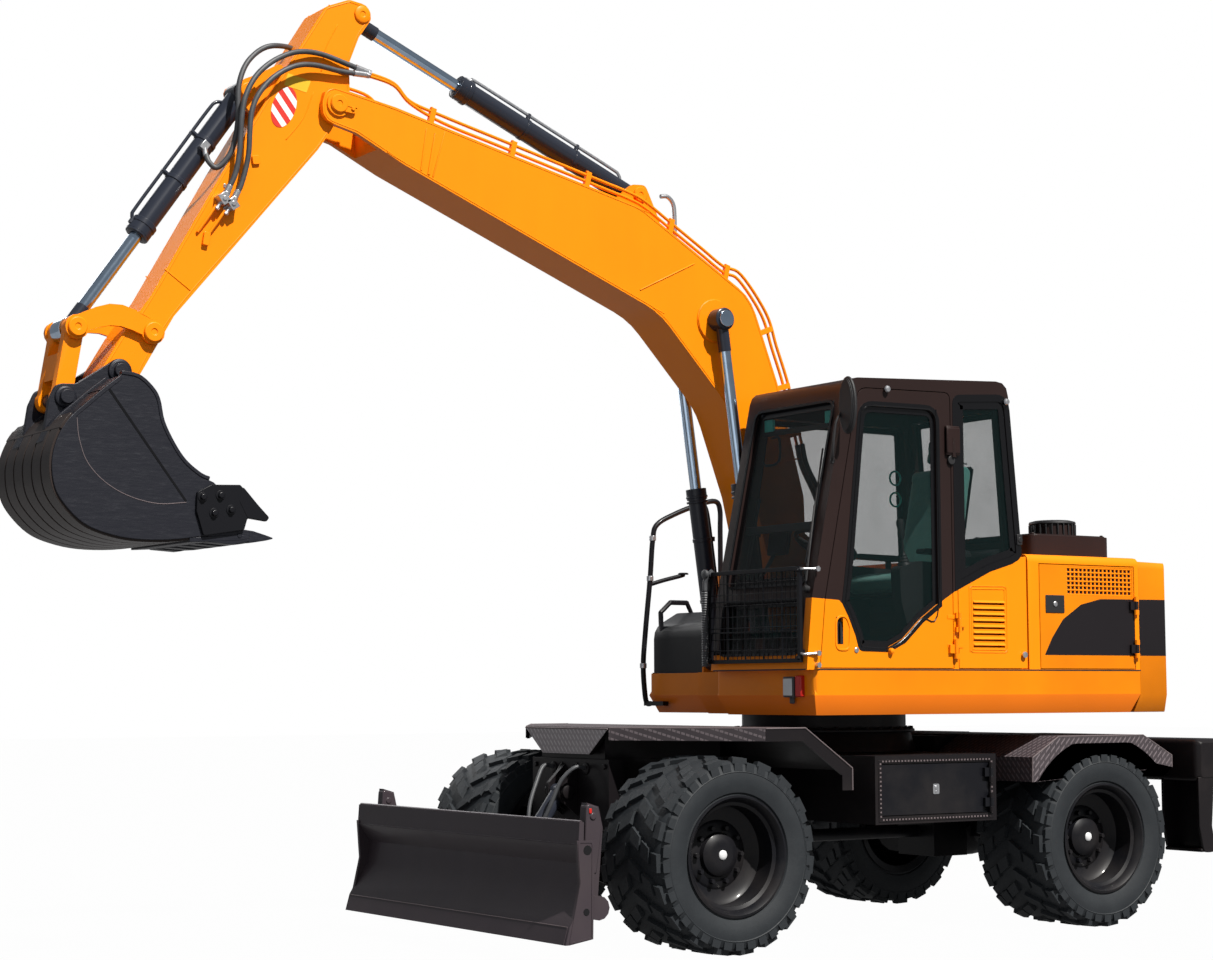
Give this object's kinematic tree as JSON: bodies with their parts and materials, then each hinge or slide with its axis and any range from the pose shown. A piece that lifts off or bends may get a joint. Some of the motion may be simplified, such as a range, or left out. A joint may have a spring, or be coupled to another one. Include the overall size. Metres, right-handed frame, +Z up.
{
  "type": "wheeled excavator",
  "caption": "Orange wheeled excavator with a guarded side cab, long backhoe boom and stick, digging bucket, front dozer blade and dark grey undercarriage.",
  "frame": {"origin": "On the ground under the middle of the bounding box, boom and mirror included", "axes": "+X is forward, towards the bucket; +Y is the operator's left; +Z is up"},
  "size_m": [7.411, 2.599, 5.1384],
  "materials": {
    "upper_orange": "gloss",
    "arm_orange": "gloss",
    "cab_frame": "satin",
    "chassis_paint": "satin",
    "black_paint": "satin",
    "rim_paint": "satin",
    "tyre_rubber": "matte",
    "bucket_paint": "satin",
    "ram_paint": "satin",
    "rod_chrome": "polished",
    "window_glass": "polished",
    "trim_plastic": "matte",
    "seat_fabric": "matte"
  },
  "bodies": {
    "chassis": {"chassis_frame": "chassis_paint", "front_fenders": "chassis_paint", "rear_fenders": "chassis_paint", "toolbox_left": "chassis_paint", "toolbox_right": "chassis_paint", "rear_beam": "chassis_paint", "front_axle": "black_paint", "rear_axle": "black_paint"},
    "toolbox_lid_left": {"toolbox_door_left": "black_paint"},
    "toolbox_lid_right": {"toolbox_door_right": "black_paint"},
    "steer_left": {"knuckle_left": "black_paint"},
    "steer_right": {"knuckle_right": "black_paint"},
    "wheel_front_left": {"tyre_front_left": "tyre_rubber", "rim_front_left": "rim_paint"},
    "wheel_front_right": {"tyre_front_right": "tyre_rubber", "rim_front_right": "rim_paint"},
    "wheel_rear_left": {"tyre_rear_left": "tyre_rubber", "rim_rear_left": "rim_paint"},
    "wheel_rear_right": {"tyre_rear_right": "tyre_rubber", "rim_rear_right": "rim_paint"},
    "blade": {"dozer_blade": "chassis_paint"},
    "blade_barrel": {"blade_ram_barrel": "ram_paint"},
    "blade_rod": {"blade_ram_rod": "rod_chrome"},
    "upper": {"upper_frame": "upper_orange", "counterweight": "upper_orange", "engine_hood": "upper_orange", "fuel_tank": "upper_orange", "engine_block": "ram_paint", "intake_box": "black_paint", "cab_shell": "cab_frame", "windshield": "window_glass", "lower_windshield": "window_glass", "quarter_glass": "window_glass", "right_glass": "window_glass", "rear_glass": "window_glass", "front_guard": "black_paint", "mirror": "trim_plastic", "operator_seat": "seat_fabric", "control_consoles": "trim_plastic", "right_locker": "black_paint", "handrail": "black_paint"},
    "door": {"cab_door": "cab_frame", "door_glass": "window_glass"},
    "service_lid": {"service_door": "upper_orange"},
    "engine_lid_left": {"engine_door_left": "upper_orange"},
    "engine_lid_right": {"engine_door_right": "upper_orange"},
    "boom_body": {"boom": "arm_orange"},
    "boom_barrels": {"boom_ram_barrels": "ram_paint"},
    "boom_rods": {"boom_ram_rod_left": "rod_chrome", "boom_ram_rod_right": "rod_chrome"},
    "stick_body": {"stick": "arm_orange"},
    "arm_barrel": {"arm_ram_barrel": "ram_paint"},
    "arm_rod": {"arm_ram_rod": "rod_chrome"},
    "bucket_body": {"bucket": "bucket_paint"},
    "bucket_barrel": {"bucket_ram_barrel": "ram_paint"},
    "bucket_rod": {"bucket_ram_rod": "rod_chrome"},
    "rocker_body": {"rocker": "arm_orange"},
    "link_body": {"h_link": "arm_orange"}
  },
  "joints": [
    {"name": "steer_left_pin", "type": "hinge", "parent": "chassis", "child": "steer_left", "pos_m": [0.2005, 0.5295, 0.525], "axis": [0, 0, 1], "range_deg": [-30, 30]},
    {"name": "steer_right_pin", "type": "hinge", "parent": "chassis", "child": "steer_right", "pos_m": [0.2005, -0.6705, 0.525], "axis": [0, 0, 1], "range_deg": [-30, 30]},
    {"name": "wheel_front_left_axle", "type": "hinge", "parent": "steer_left", "child": "wheel_front_left", "pos_m": [0.2005, 0.8595, 0.525], "axis": [0, 1, 0], "continuous": true},
    {"name": "wheel_front_right_axle", "type": "hinge", "parent": "steer_right", "child": "wheel_front_right", "pos_m": [0.2005, -1.0005, 0.525], "axis": [0, 1, 0], "continuous": true},
    {"name": "wheel_rear_left_axle", "type": "hinge", "parent": "chassis", "child": "wheel_rear_left", "pos_m": [-2.4915, 0.8595, 0.525], "axis": [0, 1, 0], "continuous": true},
    {"name": "wheel_rear_right_axle", "type": "hinge", "parent": "chassis", "child": "wheel_rear_right", "pos_m": [-2.4915, -1.0005, 0.525], "axis": [0, 1, 0], "continuous": true},
    {"name": "swing", "type": "hinge", "parent": "chassis", "child": "upper", "pos_m": [-1.3455, -0.0705, 1.262], "axis": [0, 0, 1], "continuous": true},
    {"name": "blade_lift", "type": "hinge", "parent": "chassis", "child": "blade", "pos_m": [0.5445, -0.0705, 0.43], "axis": [0, -1, 0], "range_deg": [-12, 20]},
    {"name": "blade_ram_pivot", "type": "hinge", "parent": "chassis", "child": "blade_barrel", "pos_m": [0.5545, -0.0705, 0.837], "axis": [0, -1, 0], "range_deg": [-7.13, 11.22]},
    {"name": "blade_ram_stroke", "type": "slide", "parent": "blade_barrel", "child": "blade_rod", "axis": [0.5949, 0, -0.8038], "range_m": [-0.0965, 0.0595]},
    {"name": "boom_pivot", "type": "hinge", "parent": "upper", "child": "boom_body", "pos_m": [-0.9455, -0.0705, 2.25], "axis": [0, -1, 0], "range_deg": [-62, 8]},
    {"name": "boom_ram_pivot", "type": "hinge", "parent": "upper", "child": "boom_barrels", "pos_m": [-0.7155, -0.0705, 1.582], "axis": [0, -1, 0], "range_deg": [-46.31, 6.85]},
    {"name": "boom_ram_stroke", "type": "slide", "parent": "boom_barrels", "child": "boom_rods", "axis": [0.1416, 0, 0.9899], "range_m": [-0.5247, 0.0712]},
    {"name": "stick_pivot", "type": "hinge", "parent": "boom_body", "child": "stick_body", "pos_m": [2.0575, -0.0705, 4.543], "axis": [0, 1, 0], "range_deg": [-32, 60]},
    {"name": "arm_ram_pivot", "type": "hinge", "parent": "boom_body", "child": "arm_barrel", "pos_m": [0.0545, -0.0705, 4.29], "axis": [0, 1, 0], "range_deg": [-3.79, 6.24]},
    {"name": "arm_ram_stroke", "type": "slide", "parent": "arm_barrel", "child": "arm_rod", "axis": [0.9207, 0, 0.3903], "range_m": [-0.2765, 0.515]},
    {"name": "bucket_pivot", "type": "hinge", "parent": "stick_body", "child": "bucket_body", "pos_m": [3.2685, -0.0705, 3.01], "axis": [0, 1, 0], "range_deg": [-90, 36]},
    {"name": "rocker_pivot", "type": "hinge", "parent": "stick_body", "child": "rocker_body", "pos_m": [3.0875, -0.0705, 3.223], "axis": [0, 1, 0], "range_deg": [-67.75, 27.7]},
    {"name": "link_pivot", "type": "hinge", "parent": "bucket_body", "child": "link_body", "pos_m": [3.5495, -0.0705, 2.86], "axis": [0, 1, 0], "range_deg": [-26.58, 64.94]},
    {"name": "bucket_ram_pivot", "type": "hinge", "parent": "stick_body", "child": "bucket_barrel", "pos_m": [2.5545, -0.0705, 4.56], "axis": [0, 1, 0], "range_deg": [-4.41, 2.36]},
    {"name": "bucket_ram_stroke", "type": "slide", "parent": "bucket_barrel", "child": "bucket_rod", "axis": [0.5728, 0, -0.8197], "range_m": [-0.4412, 0.1789]},
    {"name": "cab_door_hinge", "type": "hinge", "parent": "upper", "child": "door", "pos_m": [-1.3455, 1.1455, 2.205], "axis": [0, 0, 1], "range_deg": [0, 85]},
    {"name": "service_door_hinge", "type": "hinge", "parent": "upper", "child": "service_lid", "pos_m": [-1.3735, 1.1455, 1.78], "axis": [0, 0, 1], "range_deg": [-85, 0]},
    {"name": "engine_door_left_hinge", "type": "hinge", "parent": "upper", "child": "engine_lid_left", "pos_m": [-2.788, 1.1455, 1.77], "axis": [0, 0, 1], "range_deg": [0, 80]},
    {"name": "engine_door_right_hinge", "type": "hinge", "parent": "upper", "child": "engine_lid_right", "pos_m": [-2.788, -1.2865, 1.77], "axis": [0, 0, 1], "range_deg": [-80, 0]},
    {"name": "toolbox_door_left_hinge", "type": "hinge", "parent": "chassis", "child": "toolbox_lid_left", "pos_m": [-1.61, 1.1255, 0.845], "axis": [0, 0, 1], "range_deg": [0, 85]},
    {"name": "toolbox_door_right_hinge", "type": "hinge", "parent": "chassis", "child": "toolbox_lid_right", "pos_m": [-1.61, -1.2665, 0.845], "axis": [0, 0, 1], "range_deg": [-85, 0]}
  ],
  "couplings": [
    {"joint": "steer_right_pin", "follows": "steer_left_pin", "ratio": 1},
    {"joint": "blade_ram_pivot", "follows": "blade_lift", "ratio": 0.511},
    {"joint": "blade_ram_stroke", "follows": "blade_lift", "m_per_rad": -0.2649},
    {"joint": "boom_ram_pivot", "follows": "boom_pivot", "ratio": 0.7308},
    {"joint": "boom_ram_stroke", "follows": "boom_pivot", "m_per_rad": 0.4811},
    {"joint": "arm_ram_pivot", "follows": "stick_pivot", "ratio": 0.0873},
    {"joint": "arm_ram_stroke", "follows": "stick_pivot", "m_per_rad": 0.488},
    {"joint": "rocker_pivot", "follows": "bucket_pivot", "ratio": 0.7417},
    {"joint": "link_pivot", "follows": "bucket_pivot", "ratio": -0.7105},
    {"joint": "bucket_ram_pivot", "follows": "bucket_pivot", "ratio": 0.0378},
    {"joint": "bucket_ram_stroke", "follows": "bucket_pivot", "m_per_rad": 0.2784}
  ]
}
